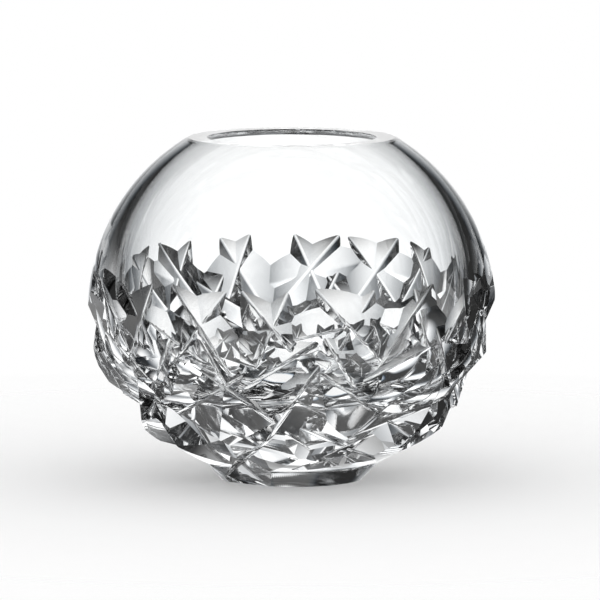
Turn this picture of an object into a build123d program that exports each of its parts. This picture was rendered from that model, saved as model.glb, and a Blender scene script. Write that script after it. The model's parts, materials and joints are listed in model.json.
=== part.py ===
from build123d import *
from dataclasses import dataclass
from math import asin, atan2, cos, degrees, hypot, radians, sin, sqrt, tan
import os

# A rose bowl: one heavy globe of clear crystal, open at a ground flat rim, standing on a short foot.
# Its lower half is covered with deep V-section mitre cuts that lean either way and cross.
# Millimetres, +Z up, origin at the centre of the base.

# The blown blank, before cutting
height = 128.0
globe_diameter = 152.8
rim_diameter = 78.0
foot_diameter = 66.0
foot_height = 6.5
foot_bevel = 6.0
under_straight = 0.284    # 0 where the arc below the globe reaches the foot, 1 where a cone does all the way

# The glass round the hollow
rim_wall = 7.9
globe_wall = 9.6
floor_share = 0.321       # the floor's thickness over the height of the globe's widest level
floor_flat = 30.0
floor_fall = 22.0
floor_corner = 30.0
rim_ease = 0.5
least_wall = 2.8

# Steps of the even scatter that keeps neighbouring cuts unlike each other
TURN_STEP = 0.5698402910
LEVEL_STEP = 0.6180339887
DEPTH_STEP = 0.7548776662

# Points either side of a valley's middle where the glass behind it is measured, and times it is lifted
STEPS = 12
LIFTS = 4


@dataclass(frozen=True)
class CutRing:
    """One ring of mitre cuts round the globe; each spread is the full range about its middle value."""

    count: int            # cuts round the globe, leaning to one side and the other in turn
    start: float          # share of a pitch that the ring is turned by
    level: float          # height of the cuts' middles, as a share of the globe's widest level
    level_spread: float
    lean: float           # degrees from upright
    lean_spread: float
    depth: float          # below the blank, at the middle of the cut
    depth_spread: float
    opening: float        # full angle of the V, degrees
    tilt_spread: float    # degrees that the V is rolled about its valley
    first: int            # where the ring starts in the scatter


border_cuts = CutRing(
    count=32, start=0.0, level=0.883, level_spread=0.096, lean=34.0, lean_spread=24.0,
    depth=6.2, depth_spread=1.0, opening=128.0, tilt_spread=16.0, first=3,
)
girdle_cuts = CutRing(
    count=10, start=0.5, level=0.987, level_spread=0.112, lean=74.0, lean_spread=24.0,
    depth=4.8, depth_spread=1.4, opening=136.0, tilt_spread=0.0, first=7,
)
waist_cuts = CutRing(
    count=18, start=0.3, level=0.690, level_spread=0.128, lean=40.0, lean_spread=56.0,
    depth=10.4, depth_spread=1.6, opening=116.0, tilt_spread=20.0, first=40,
)
under_cuts = CutRing(
    count=18, start=0.7, level=0.460, level_spread=0.096, lean=40.0, lean_spread=44.0,
    depth=12.4, depth_spread=1.8, opening=118.0, tilt_spread=20.0, first=52,
)
foot_cuts = CutRing(
    count=13, start=0.2, level=0.260, level_spread=0.040, lean=40.0, lean_spread=30.0,
    depth=6.2, depth_spread=1.6, opening=116.0, tilt_spread=16.0, first=61,
)

globe_radius = globe_diameter / 2
rim_radius = rim_diameter / 2
foot_radius = foot_diameter / 2
hollow_radius = globe_radius - globe_wall
mouth_radius = rim_radius - rim_wall
cut_reach = globe_radius / 2
cut_length = 1.5 * globe_radius

# The globe is a ball cut off at the rim. Below its widest level an arc draws it in, until the arc
# runs straight into a cone that slopes down to the foot.
globe_level = height - sqrt(globe_radius ** 2 - rim_radius ** 2)
under_lean = degrees(atan2(globe_radius - foot_radius, globe_level - foot_height))
under_slope = 90 - (2 - under_straight) * under_lean
slope_run = cos(radians(under_slope))
slope_rise = sin(radians(under_slope))
under_arc = (
    (globe_level - foot_height) * slope_run - (globe_radius - foot_radius) * slope_rise
) / (1 - slope_rise)
under_centre = globe_radius - under_arc
under_end = globe_level - under_arc * slope_run

# The hollow is a ball cut off at the mouth. Its floor falls to a flat middle, and a round corner
# touches both the ball and the floor.
hollow_level = height - sqrt(hollow_radius ** 2 - mouth_radius ** 2)
floor_thickness = floor_share * globe_level
fall_run = cos(radians(floor_fall))
fall_rise = sin(radians(floor_fall))
side_span = hollow_radius - floor_corner
start_x = floor_flat / 2 - floor_corner * fall_rise
start_z = floor_thickness + floor_corner * fall_run - hollow_level
nearest = start_x * fall_run + start_z * fall_rise
floor_length = sqrt(nearest ** 2 - start_x ** 2 - start_z ** 2 + side_span ** 2) - nearest
corner_centre = start_x + floor_length * fall_run
corner_level = hollow_level + start_z + floor_length * fall_rise
side_turn = degrees(atan2(corner_level - hollow_level, corner_centre))
corner_foot = corner_level - floor_corner * fall_run


def blank_at(z):
    """Radius of the blank at height z, and how far its outward normal points up, in degrees."""
    rise = z - globe_level
    if rise >= 0:
        return sqrt(globe_radius ** 2 - rise ** 2), degrees(asin(rise / globe_radius))
    if z >= under_end:
        return under_centre + sqrt(under_arc ** 2 - rise ** 2), degrees(asin(rise / under_arc))
    return foot_radius + (z - foot_height) * slope_run / slope_rise, under_slope - 90


def hollow_gap(point):
    """Distance from a point in the glass to the hollow: to its ball, its corner or its falling floor."""
    reach = hypot(point.X, point.Y)
    turn = degrees(atan2(point.Z - corner_level, reach - corner_centre))
    if turn >= side_turn:
        return hypot(reach, point.Z - hollow_level) - hollow_radius
    if turn >= floor_fall - 90:
        return hypot(reach - corner_centre, point.Z - corner_level) - floor_corner
    return (reach - floor_flat / 2) * fall_rise - (point.Z - floor_thickness) * fall_run


def blank_section():
    """Half section of the solid blank, from the base over the bevelled foot, the globe and the rim."""
    globe_sweep = degrees(asin((height - globe_level) / globe_radius))
    with BuildSketch(Plane.XZ) as section:
        with BuildLine():
            Polyline(
                (0, 0),
                (foot_radius - foot_bevel, 0),
                (foot_radius, foot_bevel),
                (foot_radius, foot_height),
                (under_centre + under_arc * slope_rise, under_end),
            )
            CenterArc((under_centre, globe_level), under_arc, under_slope - 90, 90 - under_slope)
            CenterArc((0, globe_level), globe_radius, 0, globe_sweep)
            Polyline((rim_radius, height), (0, height), (0, 0))
        make_face()
    return section.sketch


def hollow_section():
    """Half section of the hollow, from the mouth down the round side and corner to the floor."""
    mouth_turn = degrees(asin((height - hollow_level) / hollow_radius))
    corner_sweep = side_turn - (floor_fall - 90)
    with BuildSketch(Plane.XZ) as section:
        with BuildLine():
            Line((0, height), (mouth_radius, height))
            CenterArc((0, hollow_level), hollow_radius, side_turn, mouth_turn - side_turn)
            CenterArc((corner_centre, corner_level), floor_corner, floor_fall - 90, corner_sweep)
            Polyline(
                (corner_centre + floor_corner * fall_rise, corner_foot),
                (floor_flat / 2, floor_thickness),
                (0, floor_thickness),
                (0, height),
            )
        make_face()
    return section.sketch


def scatter(number, step):
    """Evenly spread value from -0.5 to 0.5 for a counted cut."""
    return (number * step) % 1.0 - 0.5


def mitre_cut(turn, level, lean, depth, opening, tilt):
    """Long three-sided prism whose edge is the valley of one V cut laid against the blank.

    A valley that would come nearer to the hollow than the least wall, anywhere along it, is lifted.
    """
    radius, slope = blank_at(level)
    outward = Vector(1, 0, 0).rotate(Axis.Z, turn)
    around = Vector(0, 0, 1).cross(outward)
    normal = outward * cos(radians(slope)) + Vector(0, 0, sin(radians(slope)))
    upward = normal.cross(around)
    along = upward * cos(radians(lean)) + around * sin(radians(lean))
    surface = outward * radius + Vector(0, 0, level)
    offsets = [along * (cut_length * step / STEPS) for step in range(-STEPS, STEPS + 1)]
    for _ in range(LIFTS):
        valley = surface - normal * depth
        depth -= max(0, least_wall - min(hollow_gap(valley + offset) for offset in offsets))
    rise = depth + cut_reach
    half_width = rise * tan(radians(opening / 2))
    section = make_face(Polyline((0, 0), (half_width, rise), (-half_width, rise), close=True))
    bed = Plane(origin=surface - normal * depth, x_dir=normal.cross(along), z_dir=along)
    return bed * Rot(Z=tilt) * extrude(section, cut_length / 2, both=True)


def ring_of_cuts(ring):
    """Prisms of one ring, each a little unlike its neighbours."""
    for index in range(ring.count):
        number = index + ring.first
        side = 1 if index % 2 else -1
        yield mitre_cut(
            turn=360 * (index + ring.start + scatter(number, TURN_STEP) / 2) / ring.count,
            level=globe_level * (ring.level + ring.level_spread * scatter(number, LEVEL_STEP)),
            lean=side * (ring.lean + ring.lean_spread * scatter(number, LEVEL_STEP)),
            depth=ring.depth + ring.depth_spread * scatter(number, DEPTH_STEP),
            opening=ring.opening,
            tilt=ring.tilt_spread * scatter(number, DEPTH_STEP),
        )


bowl = revolve(blank_section(), Axis.Z) - revolve(hollow_section(), Axis.Z)
bowl = chamfer(bowl.edges().group_by(Axis.Z)[-1], rim_ease)
for ring in (border_cuts, girdle_cuts, waist_cuts, under_cuts, foot_cuts):
    for cut in ring_of_cuts(ring):
        bowl -= cut

os.makedirs("parts", exist_ok=True)
export_step(bowl, "parts/bowl.step")
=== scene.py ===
"""Looks of a cut crystal rose bowl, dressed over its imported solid.

The bowl is one piece of clear glass: a blown globe with a ground rim and a round hollow, whose lower
half is covered with crossing V-section mitre cuts. Lengths are in metres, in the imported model's frame.
"""
import json
import logging
import math
from dataclasses import dataclass, field
from enum import Enum
from typing import Union

import bpy
import numpy as np
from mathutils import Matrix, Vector

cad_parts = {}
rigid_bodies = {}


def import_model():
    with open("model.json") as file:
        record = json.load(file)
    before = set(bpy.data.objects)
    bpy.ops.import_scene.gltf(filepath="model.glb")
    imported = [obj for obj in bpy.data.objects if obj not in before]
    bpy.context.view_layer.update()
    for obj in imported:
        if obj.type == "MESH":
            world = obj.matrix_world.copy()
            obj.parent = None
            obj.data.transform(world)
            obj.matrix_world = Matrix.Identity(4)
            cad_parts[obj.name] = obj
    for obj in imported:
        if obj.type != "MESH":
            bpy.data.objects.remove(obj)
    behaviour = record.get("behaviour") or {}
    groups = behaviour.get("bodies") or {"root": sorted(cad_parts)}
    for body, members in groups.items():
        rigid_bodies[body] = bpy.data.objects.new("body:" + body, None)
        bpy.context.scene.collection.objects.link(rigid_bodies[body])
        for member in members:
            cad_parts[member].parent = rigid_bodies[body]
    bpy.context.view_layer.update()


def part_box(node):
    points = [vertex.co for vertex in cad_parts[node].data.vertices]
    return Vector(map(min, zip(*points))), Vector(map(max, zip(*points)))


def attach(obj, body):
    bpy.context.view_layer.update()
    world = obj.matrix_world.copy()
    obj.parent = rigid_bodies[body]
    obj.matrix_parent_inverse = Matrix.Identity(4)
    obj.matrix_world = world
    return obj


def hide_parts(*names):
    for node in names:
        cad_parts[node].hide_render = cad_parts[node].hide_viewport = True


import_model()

LOG = logging.getLogger("rose_bowl")
MM = 0.001
HAIR = 0.001 * MM
TINY = 1e-9
QUARTER = math.pi / 2
WHITE = (1.0, 1.0, 1.0, 1.0)
BLACK = (0.0, 0.0, 0.0, 1.0)

Pair = tuple[float, float]
Feed = Union[float, tuple[float, ...], bpy.types.NodeSocket]


class Zone(Enum):
    """Parts of the bowl's surface by how they were finished; the value is the material's slot."""

    SKIN = 0
    CUT = 1
    RIM = 2
    BASE = 3


class Lean(Enum):
    """Side that a mitre cut leans to, seen from outside."""

    LEFT = -1
    RIGHT = 1


def arc_points(centre: Pair, radius: float, start: float, end: float, count: int) -> np.ndarray:
    """Points along an arc: the centre plus the radius times the cosine and sine of an even run of angles.

    Args:
        centre: Radius and height of the arc's centre in the half section.
        radius: Radius of the arc.
        start: First angle from level, in radians.
        end: Last angle from level, in radians.
        count: Number of points, both ends included.

    Returns:
        Array of (radius, height) rows.
    """
    turn = np.linspace(start, end, count)
    return np.stack([centre[0] + radius * np.cos(turn), centre[1] + radius * np.sin(turn)], axis=-1)


def line_points(start: Pair, end: Pair, count: int) -> np.ndarray:
    """Evenly spaced points from start to end, both included."""
    return np.linspace(start, end, count)


@dataclass
class Blank:
    """Outside of the blown glass: a ball cut off at the rim, drawn in below to a short bevelled foot.

    Below the globe's widest level an arc runs into a cone. The straight share is 0 where the arc reaches
    the foot, and 1 where a cone does all the way. Steps count the points along each run of the section.
    """

    height: float
    globe_radius: float = 76.4 * MM
    rim_radius: float = 39.0 * MM
    rim_ease: float = 0.5 * MM
    foot_radius: float = 33.0 * MM
    foot_height: float = 6.5 * MM
    foot_bevel: float = 6.0 * MM
    under_straight: float = 0.284
    base_steps: int = 5
    bevel_steps: int = 4
    cone_steps: int = 4
    arc_steps: int = 24
    ball_steps: int = 64

    def __post_init__(self) -> None:
        """Works out the globe's level and the arc that runs from it into the cone above the foot."""
        self.level: float = self.height - math.sqrt(self.globe_radius ** 2 - self.rim_radius ** 2)
        lean = math.atan2(self.globe_radius - self.foot_radius, self.level - self.foot_height)
        self.under_slope: float = QUARTER - (2 - self.under_straight) * lean
        run, rise = math.cos(self.under_slope), math.sin(self.under_slope)
        drop = (self.level - self.foot_height) * run - (self.globe_radius - self.foot_radius) * rise
        self.under_arc: float = drop / (1 - rise)
        self.under_centre: float = self.globe_radius - self.under_arc
        self.under_end: float = self.level - self.under_arc * run

    def section(self) -> np.ndarray:
        """Half section from the middle of the base, round the outside, to the outer edge of the rim.

        Returns:
            Array of (radius, height) rows: flat base, bevel, cone, arc, ball and the eased edge.
        """
        foot, bevel = self.foot_radius, self.foot_bevel
        ease_turn = math.asin((self.height - self.rim_ease - self.level) / self.globe_radius)
        arc_turn = self.under_slope - QUARTER
        arc_centre, ball_centre = (self.under_centre, self.level), (0.0, self.level)
        cone_top = (self.under_centre + self.under_arc * math.sin(self.under_slope), self.under_end)
        return np.vstack([
            line_points((0.0, 0.0), (foot - bevel, 0.0), self.base_steps),
            line_points((foot - bevel, 0.0), (foot, bevel), self.bevel_steps)[1:],
            line_points((foot, self.foot_height), cone_top, self.cone_steps),
            arc_points(arc_centre, self.under_arc, arc_turn, 0, self.arc_steps)[1:],
            arc_points(ball_centre, self.globe_radius, 0, ease_turn, self.ball_steps)[1:],
            [(self.rim_radius - self.rim_ease, self.height)],
        ])

    def surface(self, level: np.ndarray) -> tuple[np.ndarray, np.ndarray]:
        """Where the blank's outside is at each height, and which way it faces.

        On the ball the radius is the root of the ball's radius squared less the rise squared; on the
        arc below, the same about the arc's own centre; on the cone it grows evenly with height.

        Args:
            level: Heights above the base.

        Returns:
            Radii, and the angles of the outward normals above level, in radians.
        """
        rise = level - self.level
        ball = np.sqrt(np.maximum(self.globe_radius ** 2 - rise ** 2, 0))
        arc = self.under_centre + np.sqrt(np.maximum(self.under_arc ** 2 - rise ** 2, 0))
        cone = self.foot_radius + (level - self.foot_height) / math.tan(self.under_slope)
        ball_tilt = np.arcsin(np.clip(rise / self.globe_radius, -1, 1))
        arc_tilt = np.arcsin(np.clip(rise / self.under_arc, -1, 1))
        spots = [rise >= 0, level >= self.under_end]
        radius = np.select(spots, [ball, arc], cone)
        return radius, np.select(spots, [ball_tilt, arc_tilt], self.under_slope - QUARTER)


@dataclass
class Hollow:
    """Inside of the bowl: a ball cut off at the mouth, a round corner, and a floor with a flat middle.

    The floor falls to its flat middle. Steps count the points along each run of the section.
    """

    height: float
    floor_level: float
    radius: float = 66.8 * MM
    mouth_radius: float = 31.1 * MM
    mouth_ease: float = 0.5 * MM
    flat_radius: float = 15.0 * MM
    fall: float = math.radians(22.0)
    corner: float = 30.0 * MM
    ball_steps: int = 84
    corner_steps: int = 20
    fall_steps: int = 5
    flat_steps: int = 4

    def __post_init__(self) -> None:
        """Works out the ball's level and the place of the corner that touches both ball and floor."""
        run, rise = math.cos(self.fall), math.sin(self.fall)
        self.level: float = self.height - math.sqrt(self.radius ** 2 - self.mouth_radius ** 2)
        span = self.radius - self.corner
        start = np.array([
            self.flat_radius - self.corner * rise,
            self.floor_level + self.corner * run - self.level,
        ])
        along = np.array([run, rise])
        nearest = float(start @ along)
        reach = math.sqrt(nearest ** 2 - float(start @ start) + span ** 2) - nearest
        centre = start + along * reach
        self.corner_radius: float = float(centre[0])
        self.corner_level: float = float(centre[1]) + self.level
        self.side_turn: float = math.atan2(centre[1], centre[0])
        self.corner_top: float = self.corner_level + self.corner * math.sin(self.side_turn)
        self.corner_foot: float = self.corner_level - self.corner * run

    def section(self) -> np.ndarray:
        """Half section from the inner edge of the rim, down the inside, to the middle of the floor.

        Returns:
            Array of (radius, height) rows: the eased edge, ball, corner, falling floor and flat middle.
        """
        mouth_turn = math.asin((self.height - self.mouth_ease - self.level) / self.radius)
        floor_turn = self.fall - QUARTER
        ball, corner = (0.0, self.level), (self.corner_radius, self.corner_level)
        floor_edge = (self.corner_radius + self.corner * math.sin(self.fall), self.corner_foot)
        flat_edge = (self.flat_radius, self.floor_level)
        return np.vstack([
            [(self.mouth_radius + self.mouth_ease, self.height)],
            arc_points(ball, self.radius, mouth_turn, self.side_turn, self.ball_steps),
            arc_points(corner, self.corner, self.side_turn, floor_turn, self.corner_steps)[1:],
            line_points(floor_edge, flat_edge, self.fall_steps)[1:],
            line_points(flat_edge, (0.0, self.floor_level), self.flat_steps)[1:],
        ])

    def gap(self, points: np.ndarray) -> np.ndarray:
        """Distance of points in the glass from the hollow.

        In the half section it is the distance to the ball's middle less its radius, or the same for the
        corner's circle, or the distance square to the falling floor, by the turn about the corner's centre.

        Args:
            points: Points in the glass, with the coordinates along the last axis.

        Returns:
            Distances, in the shape of the points without the last axis.
        """
        run, rise = math.cos(self.fall), math.sin(self.fall)
        reach, level = np.hypot(points[..., 0], points[..., 1]), points[..., 2]
        turn = np.arctan2(level - self.corner_level, reach - self.corner_radius)
        ball = np.hypot(reach, level - self.level) - self.radius
        corner = np.hypot(reach - self.corner_radius, level - self.corner_level) - self.corner
        floor = (reach - self.flat_radius) * rise - (level - self.floor_level) * run
        return np.select([turn >= self.side_turn, turn >= self.fall - QUARTER], [ball, corner], floor)

    def facing(self, points: np.ndarray) -> np.ndarray:
        """Unit normals of the hollow, pointing out of the glass into the bowl.

        On the ball and the corner they point back to the ball's middle or the corner's centre circle;
        on the falling floor they lean in by the angle of the fall; on its flat middle they point up.

        Args:
            points: Points on the hollow, one per row.

        Returns:
            One normal per row.
        """
        level, reach = points[:, 2], np.hypot(points[:, 0], points[:, 1])
        side = points[:, :2] / np.maximum(reach, TINY)[:, None]
        fall_in = np.full_like(reach, -math.sin(self.fall))
        fall_up = np.full_like(reach, math.cos(self.fall))
        on_fall = reach > self.flat_radius + HAIR
        spots = [level >= self.corner_top, level >= self.corner_foot, on_fall]
        inward = np.select(spots, [-reach, self.corner_radius - reach, fall_in], 0.0)
        upward = np.select(spots, [self.level - level, self.corner_level - level, fall_up], 1.0)
        normal = np.column_stack([side * inward[:, None], upward])
        return normal / np.linalg.norm(normal, axis=1, keepdims=True)


@dataclass(frozen=True)
class CutRing:
    """One ring of mitre cuts round the globe; each spread is the full range about its middle value.

    The start is a share of a pitch, levels are shares of the globe's widest level, depths are in
    millimetres and angles in degrees. The first number is where the ring starts in the scatter.
    """

    count: int
    start: float
    level: float
    level_spread: float
    lean: float
    lean_spread: float
    depth: float
    depth_spread: float
    opening: float
    tilt_spread: float
    first: int


CUT_RINGS: dict[str, CutRing] = {
    "border": CutRing(
        count=32, start=0.0, level=0.883, level_spread=0.096, lean=34.0, lean_spread=24.0,
        depth=6.2, depth_spread=1.0, opening=128.0, tilt_spread=16.0, first=3,
    ),
    "girdle": CutRing(
        count=10, start=0.5, level=0.987, level_spread=0.112, lean=74.0, lean_spread=24.0,
        depth=4.8, depth_spread=1.4, opening=136.0, tilt_spread=0.0, first=7,
    ),
    "waist": CutRing(
        count=18, start=0.3, level=0.690, level_spread=0.128, lean=40.0, lean_spread=56.0,
        depth=10.4, depth_spread=1.6, opening=116.0, tilt_spread=20.0, first=40,
    ),
    "under": CutRing(
        count=18, start=0.7, level=0.460, level_spread=0.096, lean=40.0, lean_spread=44.0,
        depth=12.4, depth_spread=1.8, opening=118.0, tilt_spread=20.0, first=52,
    ),
    "foot": CutRing(
        count=13, start=0.2, level=0.260, level_spread=0.040, lean=40.0, lean_spread=30.0,
        depth=6.2, depth_spread=1.6, opening=116.0, tilt_spread=16.0, first=61,
    ),
}


@dataclass
class MitreCuts:
    """All the V-section cuts, as arrays with one row per cut.

    A cut lies against the blank at a point of its surface. Its valley runs in the plane that touches
    the blank there, leaning from upright, and lies below that plane by the cut's depth. The wheel's edge
    is slightly round, so each valley is a narrow trough that runs into both facets. Each cut's turn,
    level, lean, depth and roll are its ring's middle value plus an even scatter, and a cut that would
    leave less glass than the least wall, anywhere along its valley, is lifted by what is missing.
    """

    blank: Blank
    hollow: Hollow
    rings: dict[str, CutRing] = field(default_factory=lambda: dict(CUT_RINGS))
    least_wall: float = 2.8 * MM
    steps: int = 12
    lifts: int = 4
    reach: float = 38.2 * MM
    length: float = 114.6 * MM
    wheel_radius: float = 110.0 * MM
    wheel_edge: float = 1.8 * MM
    trough_steps: int = 8
    turn_step: float = 0.5698402910
    level_step: float = 0.6180339887
    depth_step: float = 0.7548776662

    def __post_init__(self) -> None:
        """Lays out every ring and keeps the cuts' valleys, directions, depths and half openings."""
        laid = [self._lay(ring) for ring in self.rings.values()]
        turn, level, lean, depth, half, roll = (np.concatenate(column) for column in zip(*laid))
        radius, tilt = self.blank.surface(level)
        zero = np.zeros_like(turn)
        outward = np.column_stack([np.cos(turn), np.sin(turn), zero])
        around = np.column_stack([-np.sin(turn), np.cos(turn), zero])
        normal = outward * np.cos(tilt)[:, None] + np.column_stack([zero, zero, np.sin(tilt)])
        upward = np.cross(normal, around)
        self.along = upward * np.cos(lean)[:, None] + around * np.sin(lean)[:, None]
        across = np.cross(normal, self.along)
        surface = outward * radius[:, None] + np.column_stack([zero, zero, level])
        share = np.arange(-self.steps, self.steps + 1) / self.steps
        run = self.along[:, None] * (self.length * share)[None, :, None]
        for _ in range(self.lifts):
            gap = self.hollow.gap((surface - normal * depth[:, None])[:, None] + run).min(axis=1)
            depth = depth - np.maximum(0, self.least_wall - gap)
        self.valley = surface - normal * depth[:, None]
        self.middle = normal * np.cos(roll)[:, None] - across * np.sin(roll)[:, None]
        self.across = np.cross(self.middle, self.along)
        self.depth, self.half = depth, half

    def _lay(self, ring: CutRing) -> tuple[np.ndarray, ...]:
        """Turn, level, lean, depth, half opening and roll of each cut of a ring.

        Args:
            ring: The ring's count, middle values and spreads.

        Returns:
            Six arrays, in metres and radians.
        """
        index = np.arange(ring.count)
        number = index + ring.first
        by_turn, by_level, by_depth = (
            (number * step) % 1.0 - 0.5 for step in (self.turn_step, self.level_step, self.depth_step)
        )
        side = np.where(index % 2 == 1, Lean.RIGHT.value, Lean.LEFT.value)
        return (
            2 * math.pi * (index + ring.start + by_turn / 2) / ring.count,
            (ring.level + ring.level_spread * by_level) * self.blank.level,
            side * np.radians(ring.lean + ring.lean_spread * by_level),
            (ring.depth + ring.depth_spread * by_depth) * MM,
            np.full(ring.count, math.radians(ring.opening / 2)),
            np.radians(ring.tilt_spread * by_depth),
        )

    def trough_axes(self) -> np.ndarray:
        """A point of each trough's axis: above the valley by the edge's radius over the V's half sine."""
        return self.valley + self.middle * (self.wheel_edge / np.sin(self.half))[:, None]

    def prisms(self) -> tuple[np.ndarray, list[list[int]]]:
        """Long prisms with the section of a V whose point is rounded to the wheel's edge.

        Across the trough the section's points lie on a circle about the trough's axis, at even turns
        from one facet's foot to the other's.

        Returns:
            Corner points, one block per cut with both ends' sections, and the faces every block shares.
        """
        rise = self.depth + self.reach
        top = self.valley + self.middle * rise[:, None]
        side = self.across * (rise * np.tan(self.half))[:, None]
        turn = np.linspace(-1, 1, self.trough_steps + 1)[None] * (QUARTER - self.half)[:, None]
        trough = self.trough_axes()[:, None] + self.wheel_edge * (
            np.sin(turn)[..., None] * self.across[:, None] - np.cos(turn)[..., None] * self.middle[:, None]
        )
        section = np.concatenate([trough, (top + side)[:, None], (top - side)[:, None]], axis=1)
        end = (self.along * self.length / 2)[:, None]
        count = section.shape[1]
        here = np.arange(count)
        there = (here + 1) % count
        walls = np.stack([there, there + count, here + count, here], axis=-1).tolist()
        caps = [here[::-1].tolist(), (here + count).tolist()]
        return np.concatenate([section - end, section + end], axis=1), walls + caps

    def facets(self) -> tuple[np.ndarray, np.ndarray, np.ndarray]:
        """Planes of the cut facets, two per cut.

        Returns:
            Outward unit normals, their distances from the origin, and the number of the cut of each.
        """
        lift = self.middle * np.sin(self.half)[:, None]
        swing = self.across * np.cos(self.half)[:, None]
        normal = np.concatenate([lift - swing, lift + swing])
        cut = np.tile(np.arange(len(self.depth)), 2)
        return normal, np.einsum("ij,ij->i", normal, self.valley[cut]), cut


class NodeSheet:
    """Short ways to add and join nodes in one node tree."""

    def __init__(self, tree: bpy.types.NodeTree) -> None:
        """Keeps the tree that the nodes go into."""
        self.tree = tree

    def add(self, kind: str, **settings: object) -> bpy.types.Node:
        """Adds a node and sets its named properties.

        Args:
            kind: Blender's name for the kind of node.
            **settings: Properties of the node and their values.

        Returns:
            The new node.
        """
        node = self.tree.nodes.new(kind)
        for name, value in settings.items():
            setattr(node, name, value)
        return node

    def feed(self, value: Feed, socket: bpy.types.NodeSocket) -> None:
        """Links an output to a socket, or sets a plain value on it.

        Args:
            value: Output socket, number or colour.
            socket: Input socket that takes it.
        """
        if isinstance(value, bpy.types.NodeSocket):
            self.tree.links.new(value, socket)
        else:
            socket.default_value = value

    def fill(self, node: bpy.types.Node, *values: Feed) -> bpy.types.NodeSocket:
        """Feeds a node's first inputs in order.

        Args:
            node: Node whose inputs are fed.
            *values: Sockets, numbers or colours, one for each input.

        Returns:
            The node's first output.
        """
        for value, socket in zip(values, node.inputs):
            self.feed(value, socket)
        return node.outputs[0]

    def math(self, operation: str, *values: Feed) -> bpy.types.NodeSocket:
        """Result of a Math node on up to three sockets or numbers."""
        return self.fill(self.add("ShaderNodeMath", operation=operation), *values)

    def ramp(
        self, value: Feed, low: float, high: float, start: Feed = 0.0, end: Feed = 1.0
    ) -> bpy.types.NodeSocket:
        """Smooth step of a value from start at low to end at high."""
        node = self.add("ShaderNodeMapRange", interpolation_type="SMOOTHSTEP")
        return self.fill(node, value, low, high, start, end)

    def edge(
        self, value: Feed, at: float, width: float, start: float, end: float
    ) -> bpy.types.NodeSocket:
        """Smooth step of a value from start to end over a width about one place."""
        return self.ramp(value, at - width / 2, at + width / 2, start, end)

    def group(self, tree: bpy.types.NodeTree, **values: float) -> bpy.types.NodeSocket:
        """Places a node group with its own values.

        Args:
            tree: The group.
            **values: Input names of the group and their values.

        Returns:
            The group's output.
        """
        node = self.add("ShaderNodeGroup", node_tree=tree)
        for name, value in values.items():
            node.inputs[name].default_value = value
        return node.outputs[0]


@dataclass
class NoiseGroup:
    """Shader node group on noise over Object coordinates, with named inputs and one output.

    One of the inputs is the Scale of the noise.
    """

    name: str
    inputs: tuple[str, ...]
    output: str
    detail: float

    def __post_init__(self) -> None:
        """Makes the group with its sockets and its noise."""
        self.tree = bpy.data.node_groups.new(self.name, "ShaderNodeTree")
        for name in self.inputs:
            self.tree.interface.new_socket(name, in_out="INPUT", socket_type="NodeSocketFloat")
        self.tree.interface.new_socket(self.output, in_out="OUTPUT", socket_type="NodeSocketFloat")
        self.sheet = NodeSheet(self.tree)
        self.given = self.sheet.add("NodeGroupInput").outputs
        self.result = self.sheet.add("NodeGroupOutput").inputs[self.output]
        place = self.sheet.add("ShaderNodeTexCoord")
        noise = self.sheet.add("ShaderNodeTexNoise", noise_dimensions="3D")
        noise.inputs["Detail"].default_value = self.detail
        self.sheet.feed(place.outputs["Object"], noise.inputs["Vector"])
        self.sheet.feed(self.given["Scale"], noise.inputs["Scale"])
        self.noise = noise.outputs[0]


@dataclass(frozen=True)
class CrystalFinish:
    """How one zone of the crystal was finished.

    The roughness runs from smooth to marked where wipe marks lie; the swell's height is in metres.
    """

    name: str
    tint: tuple[float, float, float]
    smooth: float
    marked: float
    mark_scale: float
    ripple_scale: float
    ripple_height: float
    ior: float = 1.545


FINISHES: dict[Zone, CrystalFinish] = {
    Zone.SKIN: CrystalFinish(
        name="blown_crystal", tint=(0.985, 0.99, 0.99), smooth=0.0, marked=0.004, mark_scale=24.0,
        ripple_scale=26.0, ripple_height=0.015 * MM,
    ),
    Zone.CUT: CrystalFinish(
        name="polished_cuts", tint=(0.99, 0.993, 0.993), smooth=0.0, marked=0.006, mark_scale=60.0,
        ripple_scale=90.0, ripple_height=0.008 * MM,
    ),
    Zone.RIM: CrystalFinish(
        name="ground_rim", tint=(0.98, 0.985, 0.985), smooth=0.0, marked=0.04, mark_scale=320.0,
        ripple_scale=400.0, ripple_height=0.001 * MM,
    ),
    Zone.BASE: CrystalFinish(
        name="ground_base", tint=(0.97, 0.975, 0.975), smooth=0.08, marked=0.25, mark_scale=420.0,
        ripple_scale=700.0, ripple_height=0.006 * MM,
    ),
}


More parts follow.
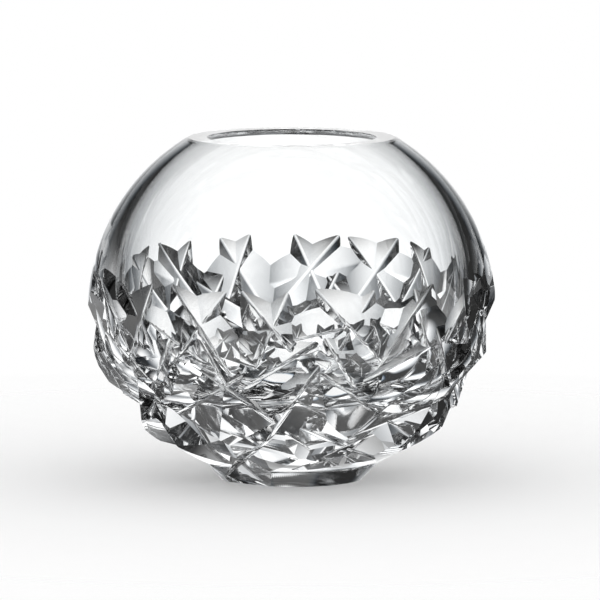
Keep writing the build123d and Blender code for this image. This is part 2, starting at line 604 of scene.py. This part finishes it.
@dataclass
class CrystalPaint:
    """Makes one glass material for each finish, all from the same two node groups.

    The glass itself takes a little of the light on its way, as a share for each metre. Wipe marks lie
    where their noise is between two levels.
    """

    finishes: dict[Zone, CrystalFinish] = field(default_factory=lambda: dict(FINISHES))
    absorption: float = 0.8
    polish_detail: float = 1.0
    mark_detail: float = 4.0
    mark_levels: Pair = (0.55, 0.78)

    def __post_init__(self) -> None:
        """Builds the two groups that the finishes share."""
        self.polish = self.hand_polish()
        self.handling = self.handling_marks()

    def hand_polish(self) -> bpy.types.NodeTree:
        """Group for the low swell that a polishing wheel or flame leaves: noise times a height.

        Returns:
            Group that puts out the swell in metres.
        """
        group = NoiseGroup("Hand Polish", ("Scale", "Height"), "Swell", self.polish_detail)
        swell = group.sheet.math("MULTIPLY", group.noise, group.given["Height"])
        group.sheet.feed(swell, group.result)
        return group.tree

    def handling_marks(self) -> bpy.types.NodeTree:
        """Group for faint wipe marks on a polished surface: a smooth step of noise.

        Returns:
            Group that puts out a roughness between two values.
        """
        inputs = ("Smooth", "Marked", "Scale")
        group = NoiseGroup("Handling Marks", inputs, "Roughness", self.mark_detail)
        ends = group.given["Smooth"], group.given["Marked"]
        group.sheet.feed(group.sheet.ramp(group.noise, *self.mark_levels, *ends), group.result)
        return group.tree

    def material(self, finish: CrystalFinish) -> bpy.types.Material:
        """Clear glass with the finish's swell and wipe marks.

        Args:
            finish: The zone's tint, roughness and ripple.

        Returns:
            A node material with one Principled shader and a plain absorption inside.
        """
        material = bpy.data.materials.new(finish.name)
        material.use_nodes = True
        nodes = material.node_tree.nodes
        sheet = NodeSheet(material.node_tree)
        glass = nodes["Principled BSDF"].inputs
        glass["Base Color"].default_value = (*finish.tint, 1.0)
        glass["IOR"].default_value = finish.ior
        glass["Transmission Weight"].default_value = 1.0
        marks = sheet.group(
            self.handling, Smooth=finish.smooth, Marked=finish.marked, Scale=finish.mark_scale
        )
        swell = sheet.group(self.polish, Scale=finish.ripple_scale, Height=finish.ripple_height)
        bump = sheet.add("ShaderNodeBump")
        bump.inputs["Distance"].default_value = 1.0
        sheet.feed(swell, bump.inputs["Height"])
        sheet.feed(marks, glass["Roughness"])
        sheet.feed(bump.outputs["Normal"], glass["Normal"])
        inside = sheet.add("ShaderNodeVolumeAbsorption")
        inside.inputs["Color"].default_value = BLACK
        inside.inputs["Density"].default_value = self.absorption
        sheet.feed(inside.outputs["Volume"], nodes["Material Output"].inputs["Volume"])
        return material

    def dress(self, mesh: bpy.types.Mesh) -> None:
        """Gives a mesh the finishes in the order of the zones' slots.

        Args:
            mesh: The bowl's mesh, whose old materials go.
        """
        mesh.materials.clear()
        for zone in Zone:
            mesh.materials.append(self.material(self.finishes[zone]))


def linked_object(name: str, mesh: bpy.types.Mesh) -> bpy.types.Object:
    """Puts a mesh into the scene's own collection.

    Args:
        name: Name of the object.
        mesh: Its mesh.

    Returns:
        The new object, at the origin.
    """
    piece = bpy.data.objects.new(name, mesh)
    bpy.context.scene.collection.objects.link(piece)
    return piece


def read_array(
    items: bpy.types.bpy_prop_collection, name: str, width: int = 1, kind: type = float
) -> np.ndarray:
    """Reads one property of a mesh's faces, corners or points.

    Args:
        items: The mesh's collection.
        name: Name of the property.
        width: Numbers that each item has.
        kind: Type of the numbers.

    Returns:
        One row per item, or a flat array where each has one number.
    """
    values = np.empty(len(items) * width, kind)
    items.foreach_get(name, values)
    return values.reshape(-1, width) if width > 1 else values


@dataclass(frozen=True)
class FaceMatch:
    """How near a face has to lie to a surface to belong to it.

    A face that is turned from the surface counts as further off, by one less the cosine of the turn,
    times the matching turn length. The bands are measured down from the rim and up from the base.
    """

    facet_miss: float = 0.005 * MM
    facet_turn: float = 1.0 * MM
    trough_miss: float = 0.03 * MM
    trough_turn: float = 0.2 * MM
    hollow_miss: float = 0.2 * MM
    rim_band: float = 0.6 * MM
    base_band: float = 0.01 * MM


@dataclass
class FaceSorts:
    """Which surface each face of the carved bowl lies on, with one row per face.

    All are flags, apart from the number of the face's cut and the normal of its facet.
    """

    facet: np.ndarray
    trough: np.ndarray
    rim: np.ndarray
    base: np.ndarray
    hollow: np.ndarray
    globe: np.ndarray
    cut: np.ndarray
    facet_normal: np.ndarray

    def zones(self) -> np.ndarray:
        """Slot number of each face's finish.

        Returns:
            Whole numbers, one per face.
        """
        flags = [self.facet | self.trough, self.rim, self.base]
        slots = [Zone.CUT.value, Zone.RIM.value, Zone.BASE.value]
        return np.select(flags, slots, Zone.SKIN.value).astype(np.int32)


@dataclass
class CrystalBowl:
    """The whole bowl: the turned blank and hollow, the cuts taken out of it, and its finishes."""

    height: float
    floor_share: float = 0.321
    columns: int = 256
    match: FaceMatch = FaceMatch()
    name: str = "crystal_bowl"

    def __post_init__(self) -> None:
        """Sets up the blank, the hollow and the layout of the cuts from the bowl's height."""
        self.blank = Blank(self.height)
        self.hollow = Hollow(self.height, self.floor_share * self.blank.level)
        self.cuts = MitreCuts(self.blank, self.hollow)

    def turned_mesh(self) -> bpy.types.Mesh:
        """Closed surface of revolution: the half section's radius carried round the axis in even turns.

        Returns:
            Mesh of quads between neighbouring turns, closed by a fan at the base and one at the floor.
        """
        section = np.vstack([self.blank.section(), self.hollow.section()])
        rows, columns = len(section) - 2, self.columns
        turn = np.arange(columns) * 2 * math.pi / columns
        radius, level = section[1:-1, 0, None], section[1:-1, 1, None]
        ring = np.stack([radius * np.cos(turn), radius * np.sin(turn), level + 0 * turn], axis=-1)
        poles = [(0.0, 0.0, section[0, 1]), (0.0, 0.0, section[-1, 1])]
        points = np.vstack([ring.reshape(-1, 3), poles])
        row, here = np.meshgrid(np.arange(rows - 1), np.arange(columns), indexing="ij")
        there = (here + 1) % columns
        quads = np.stack([row * columns + here, row * columns + there], axis=-1)
        quads = np.concatenate([quads, (quads + columns)[..., ::-1]], axis=-1).reshape(-1, 4)
        here, last = np.arange(columns), (rows - 1) * columns
        there = (here + 1) % columns
        base = np.stack([np.full(columns, rows * columns), there, here], axis=-1)
        floor = np.stack([np.full(columns, rows * columns + 1), last + here, last + there], axis=-1)
        mesh = bpy.data.meshes.new(self.name)
        mesh.from_pydata(points.tolist(), [], quads.tolist() + base.tolist() + floor.tolist())
        return mesh

    def cutters(self) -> bpy.types.Collection:
        """Makes one prism object per cut.

        Returns:
            A collection of their own, linked to the scene.
        """
        tools = bpy.data.collections.new("mitre_wheels")
        bpy.context.scene.collection.children.link(tools)
        corners, faces = self.cuts.prisms()
        for number, block in enumerate(corners):
            mesh = bpy.data.meshes.new(f"mitre_{number}")
            mesh.from_pydata(block.tolist(), [], faces)
            tools.objects.link(bpy.data.objects.new(mesh.name, mesh))
        return tools

    def carved_mesh(self) -> bpy.types.Mesh:
        """Takes every prism out of the turned blank.

        Returns:
            The bowl as a plain closed mesh; the prisms and the blank are gone.
        """
        piece = linked_object(self.name, self.turned_mesh())
        tools = self.cutters()
        carve = piece.modifiers.new("mitre cuts", "BOOLEAN")
        carve.operation = "DIFFERENCE"
        carve.solver = "MANIFOLD"
        carve.operand_type = "COLLECTION"
        carve.collection = tools
        depsgraph = bpy.context.evaluated_depsgraph_get()
        mesh = bpy.data.meshes.new_from_object(piece.evaluated_get(depsgraph))
        mesh.name = self.name
        for tool in list(tools.objects):
            bpy.data.meshes.remove(tool.data)
        bpy.data.collections.remove(tools)
        bpy.data.meshes.remove(piece.data)
        return mesh

    def trough_faces(self, centre: np.ndarray, facing: np.ndarray) -> tuple[np.ndarray, np.ndarray]:
        """Finds the faces that lie in the rounded valleys.

        A face is in a trough where its middle is one wheel edge from the trough's axis and it faces it.

        Args:
            centre: Middles of the faces.
            facing: Normals of the faces.

        Returns:
            Which faces lie in a trough, and the number of the nearest trough's cut.
        """
        offset = self.cuts.trough_axes()[None] - centre[:, None]
        along = self.cuts.along[None]
        offset = offset - (offset * along).sum(axis=-1, keepdims=True) * along
        reach = np.linalg.norm(offset, axis=-1)
        lean = np.einsum("ijk,ik->ij", offset, facing) / np.maximum(reach, TINY)
        miss = np.abs(reach - self.cuts.wheel_edge) + (1 - lean) * self.match.trough_turn
        return miss.min(axis=1) < self.match.trough_miss, miss.argmin(axis=1)

    def sort_faces(self, centre: np.ndarray, facing: np.ndarray) -> FaceSorts:
        """Finds the surface that each face of the carved bowl lies on.

        A face is on a facet where its middle lies in the facet's plane and it faces the same way.

        Args:
            centre: Middles of the faces.
            facing: Normals of the faces.

        Returns:
            The faces' surfaces, cuts and facet normals.
        """
        normal, offset, cut = self.cuts.facets()
        miss = np.abs(centre @ normal.T - offset) + (1 - facing @ normal.T) * self.match.facet_turn
        nearest = miss.argmin(axis=1)
        facet = miss.min(axis=1) < self.match.facet_miss
        trough, trough_cut = self.trough_faces(centre, facing)
        trough = trough & ~facet
        level = centre[:, 2]
        base = level < self.match.base_band
        rim = (level > self.height - self.match.rim_band) & ~(facet | trough)
        rest = ~(facet | trough | rim | base)
        hollow = rest & (self.hollow.gap(centre) < self.match.hollow_miss)
        return FaceSorts(
            facet=facet, trough=trough, rim=rim, base=base, hollow=hollow,
            globe=rest & ~hollow & (level > self.blank.level),
            cut=np.where(facet, cut[nearest], trough_cut), facet_normal=normal[nearest],
        )

    def corner_normals(
        self, sorts: FaceSorts, facing: np.ndarray, corner: np.ndarray, owner: np.ndarray
    ) -> np.ndarray:
        """Normal of the true surface at every corner of every face.

        The ball and the hollow take the normals of their formulas, and a trough's normal points to its
        axis. A cut's normal also swings along the valley by the distance from the cut's middle over
        the wheel's radius, as a wheel leaves it.

        Args:
            sorts: The surface that each face lies on.
            facing: Normals of the flat faces.
            corner: Point of each corner.
            owner: Number of each corner's face.

        Returns:
            One unit normal per corner.
        """
        shade = np.where(sorts.facet[:, None], sorts.facet_normal, facing)[owner]
        trough, cut = sorts.trough[owner], (sorts.facet | sorts.trough)[owner]
        hollow, globe = sorts.hollow[owner], sorts.globe[owner]
        along = self.cuts.along[sorts.cut][owner]
        from_axis = corner - self.cuts.trough_axes()[sorts.cut][owner]
        run = np.einsum("ij,ij->i", from_axis, along)[:, None] * along
        shade[trough] = (run - from_axis)[trough] / self.cuts.wheel_edge
        shade[cut] -= run[cut] / self.cuts.wheel_radius
        shade[hollow] = self.hollow.facing(corner[hollow])
        shade[globe] = corner[globe] - np.array([0.0, 0.0, self.blank.level])
        return shade / np.linalg.norm(shade, axis=1, keepdims=True)

    def finish_surface(self, mesh: bpy.types.Mesh) -> None:
        """Sorts the faces into zones and gives every corner the normal of the true surface.

        Args:
            mesh: The carved bowl, whose material slots and normals are set.
        """
        centre = read_array(mesh.polygons, "center", 3)
        facing = read_array(mesh.polygons, "normal", 3)
        points = read_array(mesh.vertices, "co", 3)
        corner = points[read_array(mesh.loops, "vertex_index", kind=np.int32)]
        totals = read_array(mesh.polygons, "loop_total", kind=np.int32)
        owner = np.repeat(np.arange(len(centre)), totals)
        sorts = self.sort_faces(centre, facing)
        mesh.polygons.foreach_set("material_index", sorts.zones())
        mesh.polygons.foreach_set("use_smooth", np.ones(len(centre), bool))
        mesh.normals_split_custom_set(self.corner_normals(sorts, facing, corner, owner).tolist())
        cut, hollow = (sorts.facet | sorts.trough).sum(), sorts.hollow.sum()
        LOG.info("%d faces: %d cut, %d hollow", len(centre), cut, hollow)

    def build(self) -> bpy.types.Object:
        """Carves, dresses and finishes the bowl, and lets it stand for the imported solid.

        Returns:
            The finished object.
        """
        mesh = self.carved_mesh()
        CrystalPaint().dress(mesh)
        self.finish_surface(mesh)
        piece = linked_object(self.name, mesh)
        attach(piece, "root")
        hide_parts("bowl")
        return piece


@dataclass
class BrightField:
    """Light that the glass sees: upright strips on near black, and a round card straight below.

    Angles are in degrees. The lanes stand evenly round the bowl, fade to either side and run down under
    the table, where they are brighter; weaker strips stand off square, as (turn, top). Light that was
    reflected inside the glass more than a few times is dimmed from the full level to the guided one.
    """

    lane_spacing: float = 90.0
    lane_half: float = 16.0
    lane_fade: float = 28.0
    lane_top: float = 16.0
    top_fade: float = 18.0
    lane_foot: float = -60.0
    corner_lanes: tuple[Pair, ...] = ((135.0, 16.0), (-45.0, -10.0))
    corner_level: float = 0.85
    table_start: float = -10.0
    table_full: float = -40.0
    table_level: float = 1.35
    card_top: float = -72.0
    card_level: float = 0.6
    edge_fade: float = 7.0
    fringe: float = 0.25
    dark_level: float = 0.022
    full_level: float = 1.27
    guided_from: float = 3.5
    guided_to: float = 6.5
    guided_level: float = 0.1

    def colour(self, sheet: NodeSheet) -> bpy.types.NodeSocket:
        """Light in each direction, a little wider in blue than in red.

        Args:
            sheet: Sheet of the world's node tree.

        Returns:
            Colour of the strips and the round card.
        """
        direction = sheet.add("ShaderNodeSeparateXYZ")
        sheet.feed(sheet.add("ShaderNodeTexCoord").outputs["Generated"], direction.inputs[0])
        x, y, z = direction.outputs
        turn = sheet.math("DEGREES", sheet.math("ARCTAN2", x, y))
        climb = sheet.math("DEGREES", sheet.math("ARCSINE", z))
        strips = [(turn, self.lane_spacing / 2, self.lane_top, 1.0)]
        for at, top in self.corner_lanes:
            strips.append((sheet.math("SUBTRACT", turn, at), 180.0, top, self.corner_level))
        foot = sheet.edge(climb, self.lane_foot, self.edge_fade, 0.0, 1.0)
        lanes: list[tuple[bpy.types.NodeSocket, bpy.types.NodeSocket]] = []
        for off, half_turn, top, level in strips:
            off_lane = sheet.math("ABSOLUTE", sheet.math("WRAP", off, half_turn, -half_turn))
            below = sheet.edge(climb, top, self.top_fade, level, 0.0)
            lanes.append((off_lane, sheet.math("MULTIPLY", below, foot)))
        table = sheet.ramp(climb, self.table_full, self.table_start, self.table_level, 1.0)
        tone = sheet.add("ShaderNodeCombineColor")
        for channel, shift in enumerate((-self.fringe, 0.0, self.fringe)):
            bright: Feed = self.dark_level
            for off_lane, reach in lanes:
                lane = sheet.edge(off_lane, self.lane_half + shift, self.lane_fade, 1.0, 0.0)
                bright = sheet.math("MAXIMUM", bright, sheet.math("MULTIPLY", lane, reach))
            card = sheet.edge(climb, self.card_top + shift, self.edge_fade, self.card_level, 0.0)
            bright = sheet.math("MULTIPLY", sheet.math("MAXIMUM", bright, card), table)
            sheet.feed(bright, tone.inputs[channel])
        return tone.outputs[0]

    def strength(self, sheet: NodeSheet, reflections: bpy.types.NodeSocket) -> bpy.types.NodeSocket:
        """Level of the light by how many times it was reflected on its way."""
        levels = self.full_level, self.guided_level
        return sheet.ramp(reflections, self.guided_from, self.guided_to, *levels)


@dataclass
class PaleFloor:
    """Round pale floor under the bowl that fades into the white surroundings, by shares of its radius."""

    radius: float = 0.34
    drop: float = 0.05 * MM
    sides: int = 96
    tone: float = 0.92
    roughness: float = 0.8
    fade_from: float = 0.4
    fade_to: float = 0.97
    name: str = "floor"

    def material(self) -> bpy.types.Material:
        """Matt paint whose cover fades with the distance from the middle.

        Returns:
            The floor's material.
        """
        material = bpy.data.materials.new("pale_floor")
        material.use_nodes = True
        sheet = NodeSheet(material.node_tree)
        paint = material.node_tree.nodes["Principled BSDF"].inputs
        paint["Base Color"].default_value = (self.tone, self.tone, self.tone, 1.0)
        paint["Roughness"].default_value = self.roughness
        paint["Specular IOR Level"].default_value = 0.0
        length = sheet.add("ShaderNodeVectorMath", operation="LENGTH")
        sheet.feed(sheet.add("ShaderNodeTexCoord").outputs["Object"], length.inputs[0])
        start, end = self.fade_from * self.radius, self.fade_to * self.radius
        sheet.feed(sheet.ramp(length.outputs["Value"], start, end, 1.0, 0.0), paint["Alpha"])
        return material

    def build(self) -> bpy.types.Object:
        """Lays the floor a hair under the base: a fan of triangles from the middle to an even ring.

        Returns:
            The stage object, which the glass doesn't show.
        """
        here = np.arange(self.sides)
        turn = here * 2 * math.pi / self.sides
        level = np.full(self.sides, -self.drop)
        ring = np.column_stack([self.radius * np.cos(turn), self.radius * np.sin(turn), level])
        points = np.vstack([ring, [(0.0, 0.0, -self.drop)]])
        middle = np.full(self.sides, self.sides)
        faces = np.stack([middle, here, (here + 1) % self.sides], axis=-1)
        mesh = bpy.data.meshes.new(self.name)
        mesh.from_pydata(points.tolist(), [], faces.tolist())
        mesh.materials.append(self.material())
        floor = linked_object(self.name, mesh)
        floor.visible_transmission = False
        floor.visible_glossy = False
        return floor


@dataclass
class StudioCamera:
    """Long-lens camera a little above the bowl, placed by pixels of a square frame.

    The axis and base pixels are where the bowl's axis and the middle of its base stand in the frame,
    and the pixel size is at the bowl's axis. The elevation is in degrees and the sensor in millimetres.
    """

    distance: float = 2.75
    elevation: float = 6.7
    sensor_width: float = 36.0
    frame_pixels: float = 600.0
    pixel_size: float = 0.374 * MM
    axis_pixel: float = 291.75
    base_pixel: float = 477.3

    def build(self) -> bpy.types.Object:
        """Aims the camera at the frame's middle and sets the lens by the frame's width at the bowl.

        Returns:
            The camera object, set as the scene's camera.
        """
        tilt = math.radians(self.elevation)
        half = self.frame_pixels / 2
        aim = Vector((
            (half - self.axis_pixel) * self.pixel_size,
            0.0,
            (self.base_pixel - half) * self.pixel_size / math.cos(tilt),
        ))
        lens = bpy.data.cameras.new("camera")
        lens.sensor_width = self.sensor_width
        lens.lens = lens.sensor_width * self.distance / (self.frame_pixels * self.pixel_size)
        camera = bpy.data.objects.new("camera", lens)
        camera.location = aim + Vector((0, -math.cos(tilt), math.sin(tilt))) * self.distance
        camera.rotation_euler = (QUARTER - tilt, 0, 0)
        bpy.context.scene.collection.objects.link(camera)
        bpy.context.scene.camera = camera
        return camera


@dataclass
class Studio:
    """White surroundings, the light on the glass, the floor, the camera and the lengths of light paths."""

    light: BrightField = field(default_factory=BrightField)
    floor: PaleFloor = field(default_factory=PaleFloor)
    camera: StudioCamera = field(default_factory=StudioCamera)
    fill_level: float = 1.08
    white_level: float = 1.0
    path_bounces: int = 32
    reflection_bounces: int = 16
    clear_bounces: int = 16

    def world(self) -> None:
        """Sets the surroundings: white to the camera, even to the floor, the bright field to the glass."""
        world = bpy.data.worlds.new("studio")
        bpy.context.scene.world = world
        world.use_nodes = True
        world.node_tree.nodes.clear()
        sheet = NodeSheet(world.node_tree)
        path = sheet.add("ShaderNodeLightPath").outputs
        strength = self.light.strength(sheet, path["Glossy Depth"])
        field_light = sheet.add("ShaderNodeBackground")
        surface = sheet.fill(field_light, self.light.colour(sheet), strength)
        for ray, level in (("Diffuse Depth", self.fill_level), ("Is Camera Ray", self.white_level)):
            even = sheet.fill(sheet.add("ShaderNodeBackground"), WHITE, level)
            surface = sheet.fill(sheet.add("ShaderNodeMixShader"), path[ray], surface, even)
        sheet.feed(surface, sheet.add("ShaderNodeOutputWorld").inputs["Surface"])

    def build(self) -> None:
        """Sets the stage, the camera and the path lengths that thick cut glass needs."""
        self.world()
        for thing in (self.floor.build(), self.camera.build()):
            LOG.info("set the %s", thing.name)
        scene = bpy.context.scene
        scene.view_settings.view_transform = "Standard"
        scene.cycles.max_bounces = self.path_bounces
        scene.cycles.transmission_bounces = self.path_bounces
        scene.cycles.glossy_bounces = self.reflection_bounces
        scene.cycles.transparent_max_bounces = self.clear_bounces


def main() -> None:
    """Builds the bowl and its studio, and reports each piece."""
    logging.basicConfig(level=logging.INFO, format="%(name)s: %(message)s")
    _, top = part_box("bowl")
    bowl = CrystalBowl(height=top.z).build()
    LOG.info("built %s with %d vertices", bowl.name, len(bowl.data.vertices))
    Studio().build()


if __name__ == "__main__":
    main()
